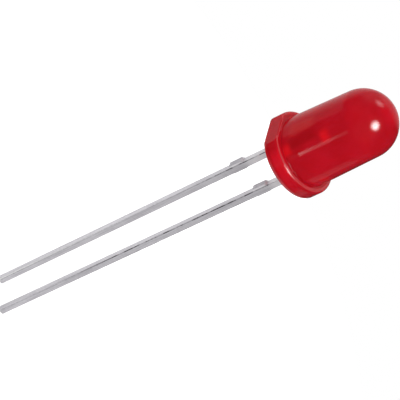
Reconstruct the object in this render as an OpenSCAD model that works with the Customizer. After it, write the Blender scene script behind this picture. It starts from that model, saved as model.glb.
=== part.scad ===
// Through-hole indicator lamp with a round red diffused lens, 5 mm size.
// Epoxy is cast round a stamped two-lead frame, which carries the light-emitting chip in a coined cup.
// +Z runs up the lens axis, the origin is on that axis at the underside of the flange,
// and the cathode lead and the flat of the flange are on the -X side.

/* [Lens] */
// Diameter of the barrel where it leaves the flange
lens_d = 5; // [4.8:0.05:5.2]
// Height of the straight stretch of barrel above the flange
lens_land_h = 1; // [0.6:0.1:2]
// Diameter of the dome, which the drafted barrel narrows to
dome_d = 4.78; // [4.6:0.02:4.8]
// Height from the underside of the flange to the top of the dome
lens_h = 8.6; // [8:0.05:9.5]
// Radius of the fillet between the barrel and the flange
root_r = 0.05; // [0.02:0.01:0.06]

/* [Flange] */
// Diameter of the flange
flange_d = 6; // [5.9:0.05:6.4]
// Thickness of the flange
flange_h = 1.15; // [0.8:0.05:1.4]
// Radius of the front edge of the flange
flange_edge_r = 0.25; // [0.1:0.05:0.35]
// Radius of the back edge of the flange
flange_back_r = 0.1; // [0.02:0.02:0.1]
// Depth of the flat that marks the cathode, from the round of the flange
flat_depth = 0.29; // [0.2:0.01:0.34]
// Radius of the front edge of the flat
flat_edge_r = 0.1; // [0.04:0.01:0.1]
// Width of the flat rim round the dished underside
rim_w = 0.55; // [0.45:0.05:0.8]
// Depth of the dish that the cast resin sinks to as it cures
dish_depth = 0.15; // [0.05:0.05:0.3]
// Spread of the resin that climbs each lead in the dish
wick_w = 0.22; // [0.1:0.02:0.3]
// Width of that resin round the lead's corners at the seating plane
wick_rim = 0.03; // [0.01:0.01:0.1]

/* [Leads] */
// Distance between the centre lines of the leads
lead_pitch = 2.54; // [2.5:0.02:2.8]
// Width of a lead across its sheared edges
lead_w = 0.5; // [0.4:0.01:0.55]
// Thickness of the sheet that the frame is stamped from
lead_t = 0.5; // [0.4:0.01:0.55]
// Length of the cathode lead below the flange
cathode_l = 28.3; // [15:0.1:30]
// Extra length of the anode lead
anode_extra = 2.55; // [1:0.05:3]

/* [Tie bar stubs] */
// Distance from the flange down to the stubs of the sheared tie bar
stub_drop = 3.1; // [2:0.1:5]
// Length of a stub along the lead
stub_h = 1.4; // [0.8:0.1:2]
// Length of the ramp at each end of a stub
stub_ramp = 0.15; // [0.05:0.05:0.3]
// How far a stub stands out on the -X side of its lead
stub_left = 0.17; // [0.05:0.01:0.3]
// How far a stub stands out on the +X side of its lead
stub_right = 0.04; // [0.02:0.01:0.2]

/* [Cathode anvil and cup] */
// Height of the cup's rim above the underside of the flange
cup_top = 3.5; // [3:0.1:4]
// Diameter of the cup at its mouth
cup_d = 1.1; // [0.9:0.05:1.3]
// Diameter of the cup's floor
cup_floor_d = 0.6; // [0.56:0.02:0.7]
// Depth of the cup
cup_depth = 0.4; // [0.3:0.05:0.5]
// Wall of the cup at its mouth
cup_wall = 0.13; // [0.08:0.01:0.2]
// Height of the round boss that the cup is coined into
boss_h = 0.7; // [0.6:0.05:0.9]
// Height of the cone under the boss, where it runs out into the sheet
boss_cone_h = 0.45; // [0.2:0.05:0.6]
// How far the anvil reaches past the lens axis
anvil_reach = 0.45; // [0.3:0.05:0.5]
// Height of the anvil's end face on the anode side
anvil_end_h = 1; // [0.8:0.05:1.1]
// Height at which the anvil starts to widen from its lead
anvil_foot = 1.35; // [1:0.05:1.6]
// Chamfer on the anvil's outer corner
anvil_chamfer = 0.35; // [0.1:0.05:0.6]

/* [Anode post] */
// Height of the post's top above the underside of the flange
post_top = 3.55; // [3.1:0.05:4.1]
// Width of the post's head
post_w = 0.75; // [0.6:0.05:0.9]
// Height of the post's head
post_head_h = 1.1; // [0.6:0.1:1.5]
// Height of the slope under the post's head
post_slope_h = 0.4; // [0.2:0.05:0.6]

/* [Chip] */
// Side of the square chip
chip_w = 0.3; // [0.2:0.01:0.34]
// Height of the chip
chip_h = 0.24; // [0.15:0.01:0.3]
// Thickness of the silver paste under the chip
paste_h = 0.03; // [0.02:0.005:0.05]
// Width of paste that shows past the chip's corners
paste_rim = 0.03; // [0.01:0.005:0.04]

/* [Bond wire] */
// Diameter of the gold wire
wire_d = 0.03; // [0.02:0.005:0.04]
// Diameter of the ball that bonds the wire to the chip
ball_d = 0.1; // [0.08:0.01:0.14]
// Height of the ball
ball_h = 0.04; // [0.03:0.005:0.06]
// Diameter of the flattened stitch on the post
stitch_d = 0.12; // [0.08:0.01:0.16]
// Height of the stitch
stitch_h = 0.03; // [0.02:0.005:0.04]
// Height of the wire's loop above the top of the post
loop_h = 0.5; // [0.3:0.05:0.8]

/* [Hidden] */
$fn = 96;

// Length by which a cut runs past the face that it opens
overrun = 0.4;

lens_r = lens_d / 2;
dome_r = dome_d / 2;
dome_z = lens_h - dome_r;
land_top = flange_h + lens_land_h;
flange_r = flange_d / 2;
flat_x = flange_r - flat_depth;
dish_rim_r = flange_r - rim_w;
dish_ball_r = (dish_rim_r * dish_rim_r + dish_depth * dish_depth) / (2 * dish_depth);
wick_tip_r = norm([lead_w, lead_t]) / 2 + wick_rim;

cathode_x = -lead_pitch / 2;
anode_x = lead_pitch / 2;
lead_side = lead_w / 2;

cup_r = cup_d / 2;
cup_floor_r = cup_floor_d / 2;
cup_floor_z = cup_top - cup_depth;
cup_flare = (cup_r - cup_floor_r) / cup_depth;
boss_r = cup_r + cup_wall;
boss_z = cup_top - boss_h;
post_mid_x = anode_x - lead_side + post_w / 2;

chip_z = cup_floor_z + paste_h;
chip_top = chip_z + chip_h;
paste_r = chip_w * sqrt(2) / 2 + paste_rim;

// Number of flat sides of the wire and of straight steps along its loop
wire_sides = 8;
wire_steps = 24;
// How deep the wire's ends sit, as shares of the height of the ball and the stitch
bond_depth_share = 0.6;
// Where the loop's shoulder stands over the post, as a share of the wire's span
shoulder_share = 0.75;
// Height of the loop's guide points over the loop's own top, as a share of the loop's rise
guide_share = 1.35;

// Waste of a rounded corner: a square less the quarter disc that stays
module corner_waste(r) {
    difference() {
        square(r + overrun);
        circle(r);
    }
}

// Half section of the flange, with its rounded edges and dished underside
module flange_section() {
    difference() {
        square([flange_r, flange_h]);
        translate([flange_r - flange_edge_r, flange_h - flange_edge_r])
            corner_waste(flange_edge_r);
        translate([flange_r - flange_back_r, flange_back_r])
            mirror([0, 1])
                corner_waste(flange_back_r);
        translate([0, dish_depth - dish_ball_r])
            circle(dish_ball_r);
    }
}

// Half section of the lens from inside the flange: straight land, drafted barrel and dome
module barrel_section() {
    translate([0, flange_h - flange_edge_r])
        square([lens_r, flange_edge_r + lens_land_h]);
    translate([lens_r, flange_h])
        difference() {
            square(root_r);
            translate([root_r, root_r])
                circle(root_r);
        }
    polygon([[0, land_top], [lens_r, land_top], [dome_r, dome_z], [0, dome_z]]);
    translate([0, dome_z])
        intersection() {
            circle(dome_r);
            square(dome_r);
        }
}

// Flange with the flat cut on the cathode side, its front edge rounded too
module flange() {
    difference() {
        rotate_extrude()
            flange_section();
        translate([-flat_x - flange_r, -flange_r - overrun, -overrun])
            cube([flange_r, flange_d + 2 * overrun, flange_h + 2 * overrun]);
        translate([-flat_x + flat_edge_r, 0, flange_h - flat_edge_r])
            rotate([90, 0, 0])
                linear_extrude(height = flange_d + 2 * overrun, center = true)
                    mirror([1, 0])
                        corner_waste(flat_edge_r);
    }
}

// Resin that climbs one lead inside the dish, down to the seating plane
module lead_wick(x) {
    translate([x, 0, 0])
        cylinder(h = dish_depth, r1 = wick_tip_r, r2 = wick_tip_r + wick_w);
}

// Sides of a lead below the flange, with its stub: the +X side upwards and the -X side downwards
function right_side(x) = [
    [x + lead_side, -stub_drop - stub_h],
    [x + lead_side + stub_right, -stub_drop - stub_h + stub_ramp],
    [x + lead_side + stub_right, -stub_drop - stub_ramp],
    [x + lead_side, -stub_drop]
];
function left_side(x) = [
    [x - lead_side, -stub_drop],
    [x - lead_side - stub_left, -stub_drop - stub_ramp],
    [x - lead_side - stub_left, -stub_drop - stub_h + stub_ramp],
    [x - lead_side, -stub_drop - stub_h]
];

// One lead as it is stamped: its square-cut tip, its sides and the outline of its head
module stamped_lead(x, length, head) {
    tip = [[x - lead_side, -length], [x + lead_side, -length]];
    rotate([90, 0, 0])
        linear_extrude(height = lead_t, center = true)
            polygon(concat(tip, right_side(x), head, left_side(x)));
}

// Cathode lead: its anvil reaches over to the lens axis, where the cup is coined into a round boss
module cathode_form() {
    anvil = [
        [cathode_x + lead_side, anvil_foot],
        [anvil_reach, cup_top - anvil_end_h],
        [anvil_reach, cup_top],
        [cathode_x - lead_side + anvil_chamfer, cup_top],
        [cathode_x - lead_side, cup_top - anvil_chamfer]
    ];
    difference() {
        union() {
            stamped_lead(cathode_x, cathode_l, anvil);
            translate([0, 0, boss_z])
                cylinder(h = boss_h, r = boss_r);
            translate([0, 0, boss_z - boss_cone_h])
                cylinder(h = boss_cone_h, r1 = lead_t / 2, r2 = boss_r);
        }
        translate([0, 0, cup_floor_z])
            cylinder(h = cup_depth + overrun, r1 = cup_floor_r, r2 = cup_r + cup_flare * overrun);
    }
}

// Anode lead: its post stands beside the cup and widens outwards to take the wire
module anode_form() {
    post = [
        [anode_x + lead_side, post_top - post_head_h - post_slope_h],
        [anode_x - lead_side + post_w, post_top - post_head_h],
        [anode_x - lead_side + post_w, post_top],
        [anode_x - lead_side, post_top]
    ];
    stamped_lead(anode_x, cathode_l + anode_extra, post);
}

// Silver paste that glues the chip to the cup's floor
module paste_form() {
    translate([0, 0, cup_floor_z])
        cylinder(h = paste_h, r = paste_r);
}

// Sawn chip, square to the leads
module chip_form() {
    translate([-chip_w / 2, -chip_w / 2, chip_z])
        cube([chip_w, chip_w, chip_h]);
}

// Loop of the wire in the plane of the leads, as the guide points of one cubic curve
wire_start = [0, chip_top + ball_h * bond_depth_share];
wire_end = [post_mid_x, post_top + stitch_h * bond_depth_share];
guide_z = wire_start[1] + (post_top + loop_h - wire_start[1]) * guide_share;
wire_guides = [wire_start, [0, guide_z], [post_mid_x * shoulder_share, guide_z], wire_end];

function on_curve(p, t) =
    pow(1 - t, 3) * p[0] + 3 * t * pow(1 - t, 2) * p[1] + 3 * t * t * (1 - t) * p[2] + pow(t, 3) * p[3];
function along_curve(p, t) =
    pow(1 - t, 2) * (p[1] - p[0]) + 2 * t * (1 - t) * (p[2] - p[1]) + t * t * (p[3] - p[2]);
function wire_ring(t) =
    let (at = on_curve(wire_guides, t), way = along_curve(wire_guides, t) / norm(along_curve(wire_guides, t)))
    [for (side = [0 : wire_sides - 1])
        let (turn = 360 * side / wire_sides, out = wire_d / 2 * cos(turn))
        [at[0] - out * way[1], wire_d / 2 * sin(turn), at[1] + out * way[0]]];

// Swept wire, closed at both ends
module wire_loop() {
    rings = [for (step = [0 : wire_steps]) wire_ring(step / wire_steps)];
    skin = [for (step = [0 : wire_steps - 1], side = [0 : wire_sides - 1])
        let (low = step * wire_sides, next = (side + 1) % wire_sides)
        [low + side, low + next, low + wire_sides + next, low + wire_sides + side]];
    start_cap = [for (side = [wire_sides - 1 : -1 : 0]) side];
    end_cap = [for (side = [0 : wire_sides - 1]) wire_steps * wire_sides + side];
    polyhedron(points = [for (ring = rings) each ring], faces = concat(skin, [start_cap, end_cap]));
}

// Bond wire: the ball on the chip, the loop and the stitch on the post
module wire_form() {
    wire_loop();
    translate([0, 0, chip_top])
        cylinder(h = ball_h, d = ball_d);
    translate([post_mid_x, 0, post_top])
        cylinder(h = stitch_h, d = stitch_d);
}

// Cast epoxy, which fills every space round the frame, the chip and the wire
module epoxy_lens() {
    color([0.72, 0.05, 0.09])
        difference() {
            union() {
                flange();
                rotate_extrude()
                    barrel_section();
                lead_wick(cathode_x);
                lead_wick(anode_x);
            }
            cathode_form();
            anode_form();
            paste_form();
            chip_form();
            wire_form();
        }
}

module cathode_lead() {
    color([0.76, 0.75, 0.77])
        cathode_form();
}

module anode_lead() {
    color([0.76, 0.75, 0.77])
        anode_form();
}

module chip_paste() {
    color([0.62, 0.6, 0.58])
        paste_form();
}

module led_chip() {
    color([0.42, 0.2, 0.14])
        chip_form();
}

module bond_wire() {
    color([0.9, 0.72, 0.3])
        wire_form();
}

epoxy_lens();
cathode_lead();
anode_lead();
chip_paste();
led_chip();
bond_wire();
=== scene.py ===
import math

import bmesh
import bpy
from mathutils import Matrix, Vector


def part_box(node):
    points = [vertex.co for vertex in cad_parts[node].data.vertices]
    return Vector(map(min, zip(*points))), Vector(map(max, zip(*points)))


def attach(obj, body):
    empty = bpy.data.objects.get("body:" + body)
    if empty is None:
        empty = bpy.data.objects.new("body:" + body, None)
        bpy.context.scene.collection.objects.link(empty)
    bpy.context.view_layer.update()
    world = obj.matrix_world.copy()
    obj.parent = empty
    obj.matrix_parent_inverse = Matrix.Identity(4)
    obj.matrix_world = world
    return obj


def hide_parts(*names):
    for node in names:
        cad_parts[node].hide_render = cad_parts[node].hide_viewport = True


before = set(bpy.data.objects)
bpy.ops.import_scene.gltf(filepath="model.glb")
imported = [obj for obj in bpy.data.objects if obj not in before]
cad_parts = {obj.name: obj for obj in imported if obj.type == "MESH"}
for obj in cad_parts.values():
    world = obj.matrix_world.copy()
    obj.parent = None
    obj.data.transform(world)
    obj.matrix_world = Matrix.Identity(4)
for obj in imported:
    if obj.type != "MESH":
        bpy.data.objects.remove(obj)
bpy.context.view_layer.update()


# Cathode lead
# The shorter lead, stamped from steel sheet with its anvil, and tinned. A punch coins the round boss and the
# reflector cup into the anvil's top, and shearing the tie bar off after casting leaves a stub on each side.

# Sizes in this file are in millimetres, and meshes are brought to metres when they become pieces
MM = 0.001

lead_pitch = 2.54
lead_w = 0.5
lead_t = 0.5
lead_crease_angle = 40
rolled_edge_r = 0.05
rolled_edge_steps = 4
stub_drop = 3.1
stub_h = 1.4
stub_ramp = 0.15
stub_left = 0.17
stub_right = 0.04

cup_top = 3.5
cup_d = 1.1
cup_floor_d = 0.6
cup_depth = 0.4
cup_wall = 0.13
cup_steps = 64
boss_h = 0.7
boss_cone_h = 0.45
anvil_reach = 0.45
anvil_end_h = 1.0
anvil_foot = 1.35
anvil_chamfer = 0.35
cut_overrun = 0.4

dull_tin = (0.66, 0.64, 0.68, 1)
bright_tin = (0.88, 0.86, 0.9, 1)
# Painted shade for the lead faces towards -Y
front_shade_tin = (0.4, 0.39, 0.42, 1)
fresh_tin = (0.97, 0.95, 0.98, 1)
# Painted glint for the cathode's rolled edges near its tip
tip_glint_tin = (1, 1, 1, 1)
# Painted shade for the dark lines on the rolled edges and beside them
edge_shade_tin = (0.06, 0.055, 0.065, 1)
tin_grain_depth = 0.01

# Grain of the tin: how each noise is stretched along the axes, and the levels between which marks appear
draw_stretch = (11, 11, 0.4)
chatter_stretch = (0.8, 0.8, 9)
cloud_stretch = (1, 1, 0.5)
dash_stretch = (1.3, 0, 1.2)
score_stretch = (1.3, 0, 5)
wear_levels = (0.35, 0.65)
dash_levels = (0.42, 0.56)
score_levels = (0.4, 0.6)

# Marks on the tin, some of them painted shade: where each starts and where it is full, and where two of them
# end
sheared_x = (-lead_w / 2 - 0.005, -lead_w / 2 - 0.03)
stub_edge_shade_x = (-0.32, -0.28)
stub_edge_shade_end_x = (-0.22, -0.18)
score_x = (-0.24, -0.2)
score_end_x = (-0.14, -0.1)
anode_start_x = (-0.1, 0.1)
front_facing = (0.6, 0.9)
clean_z = (-3.4, -2.4)
edge_shade_z = (-11, -2)
edge_shade_drop = 14
tip_end_z = (-12, -26)

stub_top = -stub_drop
stub_foot = stub_top - stub_h


def lead_outline(x, tip_z, head):
    """Outline of a stamped lead in the XZ plane: tip, +X side with its stub, head, -X side with its stub."""
    left = x - lead_w / 2
    right = x + lead_w / 2
    rising = [
        (left, tip_z),
        (right, tip_z),
        (right, stub_foot),
        (right + stub_right, stub_foot + stub_ramp),
        (right + stub_right, stub_top - stub_ramp),
        (right, stub_top),
    ]
    falling = [
        (left, stub_top),
        (left - stub_left, stub_top - stub_ramp),
        (left - stub_left, stub_foot + stub_ramp),
        (left, stub_foot),
    ]
    return rising + head + falling


def inset(outline, reach):
    """The outline with each side but the tip moved in by that much."""
    tip_z = min(z for x, z in outline)
    moved = []
    for before, corner, after in zip(outline[-1:] + outline, outline, outline[1:] + outline[:1]):
        normals = []
        shifts = []
        for (x0, z0), (x1, z1) in ((before, corner), (corner, after)):
            normals.append(Vector((z0 - z1, x1 - x0)).normalized())
            shifts.append(0 if z0 == z1 == tip_z else reach)
        moved.append(Vector(corner) + Matrix(normals).inverted() @ Vector(shifts))
    return moved


def stamped(outline, thickness):
    """Soft-edged plate of that outline. The punch enters at -Y and rolls the edges there."""
    levels = []
    for i in range(rolled_edge_steps + 1):
        turn = math.pi / 2 * i / rolled_edge_steps
        reach = rolled_edge_r * (1 - math.sin(turn))
        levels.append((reach, rolled_edge_r * (1 - math.cos(turn)) - thickness / 2))
    levels += [(reach, -y) for reach, y in reversed(levels)]
    plate = bmesh.new()
    rolled = plate.faces.layers.float.new("rolled")
    rings = [[plate.verts.new((x, y, z)) for x, z in inset(outline, reach)] for reach, y in levels]
    plate.faces.new(rings[0])
    plate.faces.new(reversed(rings[-1]))
    for level, (near, far) in enumerate(zip(rings, rings[1:])):
        for i in range(len(outline)):
            side = plate.faces.new((near[i], near[i - 1], far[i - 1], far[i]))
            side[rolled] = level < rolled_edge_steps
    bmesh.ops.recalc_face_normals(plate, faces=plate.faces)
    return plate


def polar(r, z, angle):
    """Place at that distance from the axis and that height."""
    return r * math.cos(angle), r * math.sin(angle), z


def turned(section, angles, place=polar):
    """Solid of revolution round Z from a half section that starts and ends on the axis."""
    solid = bmesh.new()
    foot = solid.verts.new(place(*section[0], 0))
    top = solid.verts.new(place(*section[-1], 0))
    rings = [[solid.verts.new(place(r, z, a)) for a in angles] for r, z in section[1:-1]]
    for i in range(len(angles)):
        solid.faces.new((foot, rings[0][i], rings[0][i - 1]))
        solid.faces.new((top, rings[-1][i - 1], rings[-1][i]))
        for low, high in zip(rings, rings[1:]):
            solid.faces.new((low[i - 1], low[i], high[i], high[i - 1]))
    bmesh.ops.recalc_face_normals(solid, faces=solid.faces)
    return solid


def combined(body, tool, how):
    """The two solids joined by "UNION", or the tool cut from the body by "DIFFERENCE"."""
    blanks = []
    for solid in (body, tool):
        mesh = bpy.data.meshes.new("blank")
        solid.to_mesh(mesh)
        solid.free()
        blanks.append(bpy.data.objects.new("blank", mesh))
        bpy.context.collection.objects.link(blanks[-1])
    change = blanks[0].modifiers.new(how, "BOOLEAN")
    change.operation = how
    change.solver = "EXACT"
    change.object = blanks[1]
    result = bmesh.new()
    result.from_object(blanks[0], bpy.context.evaluated_depsgraph_get())
    for blank in blanks:
        bpy.data.objects.remove(blank)
    return result


def as_piece(solid, name, finish, crease_angle):
    """A smooth-shaded piece of the object in metres, creased where faces meet at more than that angle."""
    mesh = bpy.data.meshes.new(name)
    solid.to_mesh(mesh)
    solid.free()
    mesh.transform(Matrix.Scale(MM, 4))
    mesh.shade_smooth()
    mesh.set_sharp_from_angle(angle=math.radians(crease_angle))
    mesh.materials.append(finish)
    piece = bpy.data.objects.new(name, mesh)
    bpy.context.collection.objects.link(piece)
    piece.modifiers.new("flat faces stay flat", "WEIGHTED_NORMAL").keep_sharp = True
    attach(piece, "root")
    return piece


class Shade:
    """A shader socket: arithmetic on it adds Math nodes, and node() adds any other node to its tree."""

    def __init__(self, tree, socket=None):
        self.tree = tree
        self.socket = socket

    def node(self, kind, settings=None, sockets=None, output=0):
        """Adds a node, sets its settings, then fills its sockets with values or links."""
        new = self.tree.nodes.new(kind)
        for name, value in (settings or {}).items():
            setattr(new, name, value)
        for name, value in (sockets or {}).items():
            if isinstance(value, Shade):
                self.tree.links.new(value.socket, new.inputs[name])
            else:
                new.inputs[name].default_value = value
        return Shade(self.tree, new.outputs[output] if new.outputs else None)

    def math(self, operation, *values):
        return self.node("ShaderNodeMath", {"operation": operation}, dict(enumerate(values)))

    def __add__(self, other):
        return self.math("ADD", self, other)

    def __sub__(self, other):
        return self.math("SUBTRACT", self, other)

    def __rsub__(self, other):
        return self.math("SUBTRACT", other, self)

    def __mul__(self, other):
        return self.math("MULTIPLY", self, other)

    __radd__ = __add__
    __rmul__ = __mul__

    def __abs__(self):
        return self.math("ABSOLUTE", self)

    def sign(self):
        return self.math("SIGN", self)

    def step(self, empty, full):
        """0 from the first value outwards, 1 from the second, smooth between. Either may be the larger."""
        if empty > full:
            return 1 - self.step(full, empty)
        sockets = {"Value": self, "From Min": empty, "From Max": full}
        return self.node("ShaderNodeMapRange", {"interpolation_type": "SMOOTHSTEP"}, sockets)

    def band(self, start, end):
        """Rises from 0 to 1 over the start, and falls back to 0 over the end."""
        return self.step(*start) * (1 - self.step(*end))

    def mixed(self, low, high):
        """Colour between two colours, with this socket as the factor."""
        factor, colour_a, colour_b, colour_result = 0, 6, 7, 2
        sockets = {factor: self, colour_a: low, colour_b: high}
        return self.node("ShaderNodeMix", {"data_type": "RGBA"}, sockets, colour_result)

    def vector_math(self, operation, other=(0, 0, 0), output="Vector"):
        return self.node("ShaderNodeVectorMath", {"operation": operation}, {0: self, 1: other}, output)

    def part(self, axis):
        """X, Y or Z of a place or a direction."""
        return self.node("ShaderNodeSeparateXYZ", sockets={0: self}, output=axis)

    def along(self, way):
        """How far a place or a direction reaches that way."""
        return self.vector_math("DOT_PRODUCT", way, "Value")

    def from_axis(self):
        """Distance of a place from the Z axis."""
        return self.vector_math("MULTIPLY", (1, 1, 0)).vector_math("LENGTH", output="Value")

    def noise(self, scale=1.0, detail=2.0, roughness=0.5):
        """Soft noise at a place."""
        sockets = {"Vector": self, "Scale": scale, "Detail": detail, "Roughness": roughness}
        return self.node("ShaderNodeTexNoise", sockets=sockets)

    def bump(self, strength, depth):
        """Normal of a surface with this socket as its height."""
        sockets = {"Strength": strength, "Distance": depth * MM, "Height": self}
        return self.node("ShaderNodeBump", sockets=sockets)

    def ray(self, kind):
        """1 for rays of that kind, and 0 for others."""
        return self.node("ShaderNodeLightPath", output=kind)

    def surface(self, sockets, settings=None):
        """Ends a material in a Principled shader with those sockets."""
        shader = self.node("ShaderNodeBsdfPrincipled", settings, sockets)
        self.node("ShaderNodeOutputMaterial", sockets={"Surface": shader})


def blank_finish(name):
    """An empty material, and the Shade that adds nodes to it."""
    finish = bpy.data.materials.new(name)
    finish.use_nodes = True
    finish.node_tree.nodes.clear()
    return finish, Shade(finish.node_tree)


def place_in_mm(ink, stretch=(1, 1, 1)):
    """Place on the piece in millimetres, with each axis stretched."""
    place = ink.node("ShaderNodeTexCoord", output="Object")
    return place.vector_math("MULTIPLY", [share / MM for share in stretch])


def tinned_steel():
    """Dull tin, drawn along the lead and chattered across it, with painted shade as broken dark lines on
    rolled edges and on -Y faces, and a painted glint.
    """
    finish, ink = blank_finish("tinned steel")
    drawn = place_in_mm(ink, draw_stretch).noise(detail=3.0, roughness=0.6)
    chatter = place_in_mm(ink, chatter_stretch).noise()
    clouds = place_in_mm(ink, cloud_stretch).noise(scale=1.2, detail=3.0)
    wear = 0.6 * drawn + 0.2 * chatter + 0.2 * clouds

    place = place_in_mm(ink)
    across = place.part("X")
    height = place.part("Z")
    from_middle = across - lead_pitch / 2 * across.sign()
    on_anode = across.step(*anode_start_x)
    near_lens = height.step(*clean_z)
    at_tip = height.step(*tip_end_z)
    at_stub = height.band((stub_foot, stub_foot + stub_ramp), (stub_top - stub_ramp, stub_top))
    sheared = from_middle.step(*sheared_x)
    front = (-1 * ink.node("ShaderNodeTexCoord", output="Normal").part("Y")).step(*front_facing)
    rolled = ink.node("ShaderNodeAttribute", {"attribute_name": "rolled"}, output="Fac")

    dashes = place_in_mm(ink, dash_stretch).noise(detail=4.0, roughness=0.6).step(*dash_levels)
    # Painted shade: dashed dark lines on the rolled edges and along the stubs' corners, on the upper part of
    # the leads
    stub_edge_shade = at_stub * front * from_middle.band(stub_edge_shade_x, stub_edge_shade_end_x)
    edge_shade_reach = (height + edge_shade_drop * on_anode).step(*edge_shade_z) * (1 - near_lens * (0.4 + 0.6 * on_anode))
    dark_line = (rolled * (1 - sheared) + stub_edge_shade) * edge_shade_reach * (0.25 + 0.75 * dashes)
    # A faint dark line beside the edge near the tips: painted shade, mottled by scoring marks
    scored = place_in_mm(ink, score_stretch).noise().step(*score_levels)
    under_edge = front * from_middle.band(score_x, score_end_x)
    dark_line = dark_line + under_edge * at_tip * (0.1 + 0.15 * scored)

    plating = wear.step(*wear_levels).mixed(dull_tin, bright_tin)
    # Painted shade: the faces towards -Y are a little darker
    plating = (0.2 * front).mixed(plating, front_shade_tin)
    plating = (sheared * front + near_lens).mixed(plating, fresh_tin)
    # Painted highlight: a white glint on the cathode's rolled edges near its tip
    plating = (rolled * at_tip * (1 - on_anode)).mixed(plating, tip_glint_tin)
    ink.surface(
        {
            "Base Color": dark_line.mixed(plating, edge_shade_tin),
            "Metallic": 0.6,
            "Roughness": 0.3 + 0.2 * wear + 0.3 * sheared,
            "Normal": (drawn + 0.5 * chatter).bump(strength=0.25, depth=tin_grain_depth),
        }
    )
    return finish


tin = tinned_steel()
cathode_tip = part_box("cathode_lead")[0].z / MM
cathode_x = -lead_pitch / 2
anvil = [
    (cathode_x + lead_w / 2, anvil_foot),
    (anvil_reach, cup_top - anvil_end_h),
    (anvil_reach, cup_top),
    (cathode_x - lead_w / 2 + anvil_chamfer, cup_top),
    (cathode_x - lead_w / 2, cup_top - anvil_chamfer),
]
boss_r = cup_d / 2 + cup_wall
boss_z = cup_top - boss_h
boss_section = [
    (0, boss_z - boss_cone_h),
    (lead_t / 2, boss_z - boss_cone_h),
    (boss_r, boss_z),
    (boss_r, cup_top),
    (0, cup_top),
]
cup_flare = (cup_d - cup_floor_d) / 2 / cup_depth
cup_section = [
    (0, cup_top - cup_depth),
    (cup_floor_d / 2, cup_top - cup_depth),
    (cup_d / 2 + cup_flare * cut_overrun, cup_top + cut_overrun),
    (0, cup_top + cut_overrun),
]
cup_angles = [2 * math.pi * i / cup_steps for i in range(cup_steps)]
cathode_solid = stamped(lead_outline(cathode_x, cathode_tip, anvil), lead_t)
cathode_solid = combined(cathode_solid, turned(boss_section, cup_angles), "UNION")
cathode_solid = combined(cathode_solid, turned(cup_section, cup_angles), "DIFFERENCE")
cathode = as_piece(cathode_solid, "cathode_lead_tinned", tin, lead_crease_angle)
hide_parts("cathode_lead")


# Anode lead
# The longer lead, from the same tinned strip. Its post stands beside the cup inside the resin and widens
# outwards at the top to take the end of the bond wire.

post_w = 0.75
post_head_h = 1.1
post_slope_h = 0.4

anode_low, anode_high = (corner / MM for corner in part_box("anode_lead"))
anode_x = lead_pitch / 2
post_left = anode_x - lead_w / 2
post = [
    (anode_x + lead_w / 2, anode_high.z - post_head_h - post_slope_h),
    (post_left + post_w, anode_high.z - post_head_h),
    (post_left + post_w, anode_high.z),
    (post_left, anode_high.z),
]
anode_solid = stamped(lead_outline(anode_x, anode_low.z, post), lead_t)
anode = as_piece(anode_solid, "anode_lead_tinned", tin, lead_crease_angle)
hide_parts("anode_lead")


# Silver paste
# A dab of glue filled with silver, dropped on to the floor of the cup before the chip is set there. It cures
# dull and grainy, holds the chip and carries its current to the cathode.

dark_paste = (0.36, 0.35, 0.34, 1)
bright_paste = (0.66, 0.65, 0.63, 1)
paste_grain_scale = 60.0
paste_grain_levels = (0.35, 0.7)
paste_grain_depth = 0.004


def silver_paste():
    """Grey glue with bright metal grains."""
    finish, ink = blank_finish("silver paste")
    grains = place_in_mm(ink).noise(paste_grain_scale, detail=3.0, roughness=0.7)
    ink.surface(
        {
            "Base Color": grains.step(*paste_grain_levels).mixed(dark_paste, bright_paste),
            "Metallic": 0.5 * grains,
            "Roughness": 0.75 - 0.3 * grains,
            "Normal": grains.bump(strength=0.4, depth=paste_grain_depth),
        }
    )
    return finish


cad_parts["chip_paste"].material_slots[0].material = silver_paste()


# Light-emitting chip
# A cube of red-brown semiconductor, sawn from its wafer and glued into the cup. The saw leaves fine lines
# along its sides, and a round gold pad on its top takes the ball of the bond wire.

pad_d = 0.12
pad_edge_r = (0.54 * pad_d, 0.46 * pad_d)
pad_gold = (0.85, 0.6, 0.22, 1)
dark_chip = (0.13, 0.035, 0.02, 1)
light_chip = (0.26, 0.08, 0.045, 1)
saw_stretch = (8, 8, 90)
saw_levels = (0.3, 0.7)
saw_depth = 0.003


def sawn_chip():
    """Sawn red-brown crystal, with the pad in gold round its axis."""
    finish, ink = blank_finish("sawn chip")
    saw_lines = place_in_mm(ink, saw_stretch).noise()
    pad = place_in_mm(ink).from_axis().step(*pad_edge_r)
    body = saw_lines.step(*saw_levels).mixed(dark_chip, light_chip)
    ink.surface(
        {
            "Base Color": pad.mixed(body, pad_gold),
            "Metallic": pad,
            "Roughness": 0.55 - 0.3 * pad + 0.1 * saw_lines,
            "Normal": saw_lines.bump(strength=0.3, depth=saw_depth),
        }
    )
    return finish


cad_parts["led_chip"].material_slots[0].material = sawn_chip()


# Bond wire
# Fine drawn gold wire that brings the current to the chip. It is balled on to the chip's pad, looped over and
# stitched flat on to the anode's post.

dark_gold = (0.8, 0.52, 0.17, 1)
light_gold = (0.95, 0.7, 0.3, 1)
wire_draw_stretch = (30, 200, 30)


def gold_wire():
    """Bright gold with fine draw lines."""
    finish, ink = blank_finish("gold wire")
    drawn = place_in_mm(ink, wire_draw_stretch).noise()
    ink.surface(
        {
            "Base Color": drawn.mixed(dark_gold, light_gold),
            "Metallic": 1.0,
            "Roughness": 0.18 + 0.15 * drawn,
        }
    )
    return finish


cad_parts["bond_wire"].material_slots[0].material = gold_wire()


# Lens
# Red diffused epoxy, cast round the lead frame upside down in a polished mould: dome, drafted barrel and a
# flange with the cathode's flat. The open end cures last, so the underside is dished and climbs the leads.

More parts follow.
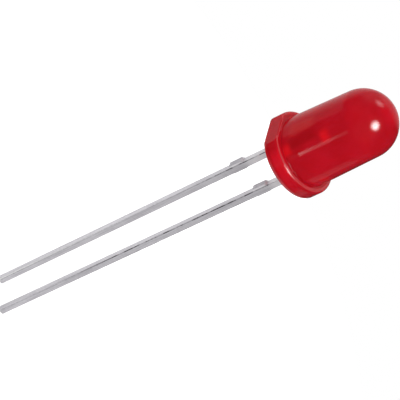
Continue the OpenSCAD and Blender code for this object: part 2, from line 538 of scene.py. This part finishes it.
lens_d = 5.0
lens_land_h = 1.0
dome_d = 4.78
root_r = 0.05
flange_h = 1.15
flange_edge_r = 0.25
flange_back_r = 0.1
flat_edge_r = 0.1
rim_w = 0.55
dish_depth = 0.15
wick_rim = 0.03
wick_w = 0.36
lens_crease_angle = 20

round_steps = 220
flat_steps = 80
dish_rings = 64
side_rings = 6
barrel_rings = 40
dome_rings = 60
edge_steps = 12
small_edge_steps = 6

deep_resin = (0.55, 0.004, 0.013, 1)
light_resin = (0.63, 0.006, 0.019, 1)
shaded_resin = (0.38, 0.002, 0.005, 1)
glowing_resin = (0.9, 0.008, 0.016, 1)
shining_resin = (0.62, 0.02, 0.026, 1)
# Painted glow at the dome's tip
tip_glow_resin = (0.85, 0.008, 0.025, 1)
# Painted glow on the flange's side
flange_glow_resin = (0.8, 0.007, 0.024, 1)
# Painted shade on the flange's rim on the anode's half
rim_shade_resin = (0.42, 0.004, 0.012, 1)
# Painted shade on the flange's back rim
back_rim_shade_resin = (0.36, 0.003, 0.007, 1)
# Painted reflection: a pale line along the flange's back edge
back_edge_sheen_resin = (0.52, 0.12, 0.135, 1)
# Painted reflection: a pale band on the flange's front rim
front_rim_sheen_resin = (0.68, 0.07, 0.08, 1)
resin_cloud_scale = 0.55
resin_speckle_scale = 14.0
resin_levels = (0.3, 0.7)

# Marks in the resin, mostly painted light: shade, glow and shine of the frame in it, glow at the dome's tip
# and the flange's side, and shade and reflection on the flange's rim. Each has the place where it starts
# and the place where it is full, and many have two where they end.
anode_half_x = (0.0, 1.0)
frame_shade_x = (1.65, 1.9)
frame_shade_end_x = (2.1, 2.3)
frame_shade_z = (1.5, 2.0)
frame_shade_end_z = (3.5, 4.3)
frame_shine_x = (2.2, 2.3)
frame_shine_y = (0.1, 0.4)
frame_shine_z = (1.6, 2.1)
frame_shine_end_z = (3.6, 4.3)
cup_glow_x = (1.15, 1.5)
cup_glow_end_x = (1.75, 2.1)
cup_glow_z = (4.0, 4.5)
cup_glow_end_z = (4.6, 5.2)
root_glow_x = (1.4, 1.7)
root_glow_end_x = (1.9, 2.2)
root_glow_z = (1.9, 1.5)
root_glow_r = (2.56, 2.52)
post_glow_x = (0.8, 1.2)
post_glow_z = (1.7, 2.2)
post_glow_end_z = (2.4, 2.9)
post_shade_x = (1.2, 1.8)
post_shade_z = (2.6, 3.4)
post_shade_end_z = (6.5, 7.6)
tip_glow_z = (8.25, 8.58)
flange_glow_x = (0.6, -1.4)
flange_glow_side_x = (2.5, 2.0)
flange_glow_r = (2.55, 2.9)
rim_r = (2.8, 2.95)
rim_shade_x = (-0.2, 1.4)
back_rim_shade_z = (0.5, 0.25)
back_edge_sheen_x = (-2.4, -1.5)
back_edge_sheen_end_x = (0.2, 1.6)
back_edge_sheen_z = (0.3, 0.1)
front_rim_sheen_r = (2.66, 2.74)
front_rim_sheen_outer_r = (2.94, 2.9)
front_rim_sheen_z = (1.02, 1.08)
front_rim_sheen_narrowing = 0.14
sheen_narrowing_x = (0.4, -2.6)
anode_gloss_x = (1.1, 1.6)

lens_low, lens_high = (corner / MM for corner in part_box("epoxy_lens"))
flange_r = lens_high.y
flat_x = -lens_low.x
lens_r = lens_d / 2
dome_r = dome_d / 2
dome_z = lens_high.z - dome_r
dish_rim_r = flange_r - rim_w
dish_ball_r = (dish_rim_r**2 + dish_depth**2) / (2 * dish_depth)
wick_r = math.hypot(lead_w, lead_t) / 2 + wick_rim


def arc(centre, r, start, end, steps):
    """Points of a round stretch of an outline, angles in degrees."""
    turns = [math.radians(start + (end - start) * i / steps) for i in range(steps + 1)]
    return [(centre[0] + r * math.cos(a), centre[1] + r * math.sin(a)) for a in turns]


def line(start, end, steps):
    """Points inside a straight stretch, without its ends."""
    return [tuple(Vector(start).lerp(Vector(end), i / steps)) for i in range(1, steps)]


def lens_section():
    """Half section of the lens from the middle of the dish round to the top of the dome."""
    dish_end = math.degrees(math.asin(dish_rim_r / dish_ball_r))
    dish = arc((0, dish_depth - dish_ball_r), dish_ball_r, 90, 90 - dish_end, dish_rings)
    dish[0] = (0, dish_depth)
    back = arc((flange_r - flange_back_r, flange_back_r), flange_back_r, -90, 0, small_edge_steps)
    front = arc((flange_r - flange_edge_r, flange_h - flange_edge_r), flange_edge_r, 0, 90, edge_steps)
    root = arc((lens_r + root_r, flange_h + root_r), root_r, 270, 180, small_edge_steps)
    land_top = (lens_r, flange_h + lens_land_h)
    dome = arc((0, dome_z), dome_r, 0, 90, dome_rings)
    dome[-1] = (0, lens_high.z)
    return (
        dish
        + line(dish[-1], back[0], side_rings)
        + back
        + line(back[-1], front[0], side_rings)
        + front
        + root
        + line(root[-1], land_top, side_rings)
        + [land_top]
        + line(land_top, dome[0], barrel_rings)
        + dome
    )


def lens_point(r, z, angle):
    """Place on the lens skin: the flange is cut off at the flat, and the dish climbs the two leads."""
    x, y, z = polar(r, z, angle)
    if z <= flange_h:
        rounding = max(0, z - flange_h + flat_edge_r)
        limit = flat_x - flat_edge_r + math.sqrt(flat_edge_r**2 - min(rounding, flat_edge_r) ** 2)
        if x < -limit:
            y *= limit / -x
            x = -limit
        if r < dish_rim_r:
            from_lead = min(math.hypot(x - lead_x, y) for lead_x in (cathode_x, anode_x))
            climb = min(1, max(0, (from_lead - wick_r) / wick_w))
            z *= climb * climb * (3 - 2 * climb)
    return x, y, z


def diffused_epoxy():
    """Red resin with a white diffuser stirred in, and painted light: the frame's shade, the cup's glow, and
    shade and sheen on the rim.
    """
    finish, ink = blank_finish("red diffused epoxy")
    place = place_in_mm(ink)
    clouds = place.noise(resin_cloud_scale, detail=3.0)
    speckle = place.noise(resin_speckle_scale)
    across = place.part("X")
    side = abs(across)
    deep = abs(place.part("Y"))
    height = place.part("Z")
    from_axis = place.from_axis()
    cathode_half = 1 - across.step(*anode_half_x)

    frame_shade = side.band(frame_shade_x, frame_shade_end_x) * height.band(frame_shade_z, frame_shade_end_z)
    post_shade = across.step(*post_shade_x) * height.band(post_shade_z, post_shade_end_z)
    frame_shine = side.step(*frame_shine_x) * deep.step(*frame_shine_y)
    frame_shine = cathode_half * frame_shine * height.band(frame_shine_z, frame_shine_end_z)
    at_cup = side.band(cup_glow_x, cup_glow_end_x) * height.band(cup_glow_z, cup_glow_end_z)
    at_root = side.band(root_glow_x, root_glow_end_x) * height.step(*root_glow_z)
    at_root = at_root * from_axis.step(*root_glow_r)
    at_post = across.step(*post_glow_x) * height.band(post_glow_z, post_glow_end_z)
    glow = (at_cup + at_root) * cathode_half + 0.7 * at_post

    # Painted glow: brighter red on the flange's side in the cathode's half, away from the flat
    flange_glow = from_axis.step(*flange_glow_r) * across.step(*flange_glow_x) * side.step(*flange_glow_side_x)
    rim = from_axis.step(*rim_r)
    # Painted reflection: a pale line along the flange's back edge on the cathode's half
    back_edge_sheen = rim * height.step(*back_edge_sheen_z) * across.band(back_edge_sheen_x, back_edge_sheen_end_x)
    # Painted reflection: a pale band on the flange's front rim, narrower on the cathode's side
    front_rim_sheen = (from_axis - front_rim_sheen_narrowing * across.step(*sheen_narrowing_x)).step(*front_rim_sheen_r)
    front_rim_sheen = front_rim_sheen * from_axis.step(*front_rim_sheen_outer_r) * height.step(*front_rim_sheen_z)

    resin = (0.8 * clouds + 0.2 * speckle).step(*resin_levels).mixed(deep_resin, light_resin)
    for share, colour in (
        (0.55 * frame_shade, shaded_resin),
        (0.7 * post_shade, shaded_resin),
        (0.8 * glow, glowing_resin),
        (frame_shine, shining_resin),
        # Painted glow at the dome's tip
        (0.45 * height.step(*tip_glow_z), tip_glow_resin),
        (0.8 * flange_glow, flange_glow_resin),
        # Painted shade on the flange's rim on the anode's half
        (0.5 * rim * across.step(*rim_shade_x), rim_shade_resin),
        # Painted shade on the flange's back rim
        (0.5 * rim * height.step(*back_rim_shade_z), back_rim_shade_resin),
        (0.9 * back_edge_sheen, back_edge_sheen_resin),
        (front_rim_sheen, front_rim_sheen_resin),
    ):
        resin = share.mixed(resin, colour)
    ink.surface(
        {
            "Base Color": resin,
            "Roughness": 0.16 + 0.06 * speckle,
            "IOR": 1.54,
            "Specular IOR Level": 0.0,
            "Subsurface Weight": 0.7,
            "Subsurface Radius": (1.0, 0.1, 0.08),
            "Subsurface Scale": 2.0 * MM,
            "Transmission Weight": 0.25,
            "Coat Weight": 0.6 + 0.4 * across.step(*anode_gloss_x),
            "Coat Roughness": 0.06,
            "Coat IOR": 1.5,
        },
        {"subsurface_method": "RANDOM_WALK"},
    )
    return finish


flat_half = math.acos(flat_x / flange_r)
round_span = 2 * (math.pi - flat_half)
round_angles = [flat_half - math.pi + round_span * i / round_steps for i in range(round_steps)]
flat_angles = [math.pi - flat_half + 2 * flat_half * i / flat_steps for i in range(flat_steps)]
lens_solid = turned(lens_section(), round_angles + flat_angles, lens_point)
lens = as_piece(lens_solid, "epoxy_lens_cast", diffused_epoxy(), lens_crease_angle)
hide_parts("epoxy_lens")


# Floor
# A round white card under the lamp, open towards the camera, and a grey table beyond it behind and to the
# right. The camera sees both white, and their tones show in what the tin and the resin mirror.

card_r = 46.2
card_corner = (-4.0, -3.0)
card_start = -85.0
card_end = 182.0
card_steps = 96
card_tones = (0.35, 0.6)
card_bright_way = (-0.55, 0.84, 0)
card_bright_reach = (-25, 25)
table_r = 110.0
table_start = 80.0
table_end = 167.0
table_steps = 48
table_tones = (0.17, 0.5)
table_bright_way = (0.26, 0.97, 0)
table_bright_reach = (20, 75)
side_table_r = 64.0
side_table_start = -32.0
side_table_end = -6.0

paper_fade_r = (58.0, 108.0)
paper_white = (1, 1, 1, 1)
paper_seen = 0.85
paper_seen_through = 0.5
paper_mirrored = 0.55


def paper(name, tones, bright_way, bright_reach):
    """Paper that looks white and takes a soft shadow, with painted light that makes it paler one way, fading
    out far from the axis.
    """
    finish, ink = blank_finish(name)
    place = place_in_mm(ink)
    tone = tones[0] + (tones[1] - tones[0]) * place.along(bright_way).step(*bright_reach)
    seen = ink.ray("Is Camera Ray")
    through = ink.ray("Is Transmission Ray")
    mirrored = ink.ray("Is Glossy Ray")
    strength = paper_seen * seen + paper_seen_through * through + paper_mirrored * mirrored * tone
    glow = ink.node("ShaderNodeEmission", sockets={"Color": paper_white, "Strength": strength})
    sheet = ink.node("ShaderNodeBsdfDiffuse", sockets={"Color": tone})
    both = ink.node("ShaderNodeAddShader", sockets={0: glow, 1: sheet})
    clear = ink.node("ShaderNodeBsdfTransparent")
    fade = place.from_axis().step(*paper_fade_r)
    faded = ink.node("ShaderNodeMixShader", sockets={0: fade, 1: both, 2: clear})
    ink.node("ShaderNodeOutputMaterial", sockets={"Surface": faded})
    return finish


def sheet_of(name, outline, finish):
    """A flat sheet of that outline on the floor, in the scene but not part of the object."""
    mesh = bpy.data.meshes.new(name)
    mesh.from_pydata([(x * MM, y * MM, anode_low.z * MM) for x, y in outline], [], [range(len(outline))])
    mesh.materials.append(finish)
    sheet = bpy.data.objects.new(name, mesh)
    bpy.context.collection.objects.link(sheet)


def ring_piece(inner, outer, start, end):
    """Outline of a piece of a flat ring round the axis, angles in degrees."""
    return arc((0, 0), inner, end, start, table_steps) + arc((0, 0), outer, start, end, table_steps)


white_card = paper("white card", card_tones, card_bright_way, card_bright_reach)
sheet_of("card", [card_corner] + arc((0, 0), card_r, card_start, card_end, card_steps), white_card)
grey_table = paper("grey table", table_tones, table_bright_way, table_bright_reach)
sheet_of("table", ring_piece(card_r, table_r, table_start, table_end), grey_table)
sheet_of("side_table", ring_piece(card_r, side_table_r, side_table_start, side_table_end), grey_table)


# Light
# Three nested lamps above the front are the key, with three weaker ones behind, two small ones low in front
# and three wide fills. The room is white to the camera. The part mirrors it as a dim one, with a pale
# backdrop and two soft glows behind the part.

# The point that every lamp faces, inside the lens
lit_point = Vector((0, 0, 4))

# Each nested lamp has a name, a distance, a width and the brightness of its face
key_way = (0.072, -0.524, 0.849)
key_lamps = (("key lamp", 400, 125, 16), ("key halo", 410, 205, 9.5), ("key glow", 420, 265, 2.2))
rear_way = (-0.103, 0.621, 0.717)
rear_lamps = (("rear lamp", 400, 77, 0.85), ("rear halo", 405, 122, 0.8), ("rear glow", 410, 180, 0.85))

# Each fill has a name, a direction and a brightness
fill_distance = 400
fill_w = 600
fills = (
    ("front fill", (-0.1, -0.9, 0.4), 1.0),
    ("side fill", (-0.714, 0.228, 0.571), 0.5),
    ("right fill", (0.94, -0.34, 0.05), 0.2),
)

# Each low lamp has a name, a direction, a distance, a width with a height, and a brightness
low_lamps = (
    ("low lamp", (-0.460, -0.740, -0.491), 200, (36, 10), 1.0),
    ("low lamp end", (-0.468, -0.723, -0.508), 202, (34, 5), 3.3),
)

room_white = (1, 1, 1, 1)
room_light = 0.6
room_seen = 1.0
room_seen_through = 0.8
room_mirrored = 0.03
backdrop_light = 0.6
backdrop_way = (0.174, 0.985, 0)
backdrop_spread = (0.4, 0.9)
backdrop_edge_way = (-0.597, 0.711, 0.373)
backdrop_edge = (-0.08, 0.08)
backdrop_top = (0.2, -0.22)
rear_glow_light = 0.28
rear_glow_way = (-0.195, 0.844, 0.5)
rear_glow_spread = (0.8, 0.98)
side_glow_light = 0.32
side_glow_way = (0.474, 0.827, 0.303)
side_glow_spread = (0.86, 0.99)


def soft_lamp(name, direction, distance, size, radiance):
    """Oval lamp that faces the lens, given by its width and height and by how bright its own face is."""
    lamp = bpy.data.lights.new(name, "AREA")
    lamp.shape = "ELLIPSE"
    lamp.size = size[0] * MM
    lamp.size_y = size[1] * MM
    lamp.energy = radiance * math.pi * math.pi * lamp.size * lamp.size_y / 4
    holder = bpy.data.objects.new(name, lamp)
    way = Vector(direction).normalized()
    turn = way.to_track_quat("Z", "Y").to_matrix().to_4x4()
    holder.matrix_world = Matrix.Translation((lit_point + way * distance) * MM) @ turn
    bpy.context.collection.objects.link(holder)
    return holder


for name, distance, width, radiance in key_lamps:
    soft_lamp(name, key_way, distance, (width, width), radiance).visible_diffuse = False
for name, direction, radiance in fills:
    soft_lamp(name, direction, fill_distance, (fill_w, fill_w), radiance).visible_glossy = False
for name, distance, width, radiance in rear_lamps:
    soft_lamp(name, rear_way, distance, (width, width), radiance)
for name, direction, distance, size, radiance in low_lamps:
    soft_lamp(name, direction, distance, size, radiance)

world = bpy.data.worlds.new("room")
bpy.context.scene.world = world
world.use_nodes = True
world.node_tree.nodes.clear()
room = Shade(world.node_tree)
seen = room.ray("Is Camera Ray")
seen_through = room.ray("Is Transmission Ray")
mirrored = room.ray("Is Glossy Ray")
way = room.node("ShaderNodeTexCoord", output="Generated")
backdrop = backdrop_light * way.along(backdrop_way).step(*backdrop_spread)
backdrop = backdrop * way.along(backdrop_edge_way).step(*backdrop_edge) * way.part("Z").step(*backdrop_top)
rear_glow = rear_glow_light * way.along(rear_glow_way).step(*rear_glow_spread)
side_glow = side_glow_light * way.along(side_glow_way).step(*side_glow_spread)
strength = room_light + (room_seen - room_light) * seen + (room_seen_through - room_light) * seen_through
strength = strength + mirrored * (backdrop + rear_glow + side_glow + (room_mirrored - room_light))
pale = room.node("ShaderNodeBackground", sockets={"Color": room_white, "Strength": strength})
room.node("ShaderNodeOutputWorld", sockets={"Surface": pale})


# Camera
# A long lens looks down on the lamp from the cathode's side, rolled so that the leads run to the lower left.
# Its place and its angles, in degrees, were fitted to the outlines of the lens and the leads.

camera_place = Vector((-62.89, -96.0, 75.52))
camera_heading = 56.807
camera_fall = 36.239
camera_roll = 64.73
sensor_w = 36.0
focal_length = 181.3

camera_data = bpy.data.cameras.new("camera")
camera_data.sensor_width = sensor_w
camera_data.lens = focal_length
camera_data.clip_start = MM
camera = bpy.data.objects.new("camera", camera_data)
heading = math.radians(camera_heading)
fall = math.radians(camera_fall)
ahead = Vector((math.cos(heading) * math.cos(fall), math.sin(heading) * math.cos(fall), -math.sin(fall)))
aim = ahead.to_track_quat("-Z", "Y").to_matrix().to_4x4()
roll = Matrix.Rotation(math.radians(camera_roll), 4, "Z")
camera.matrix_world = Matrix.Translation(camera_place * MM) @ aim @ roll
bpy.context.collection.objects.link(camera)
bpy.context.scene.camera = camera
bpy.context.scene.view_settings.view_transform = "Standard"
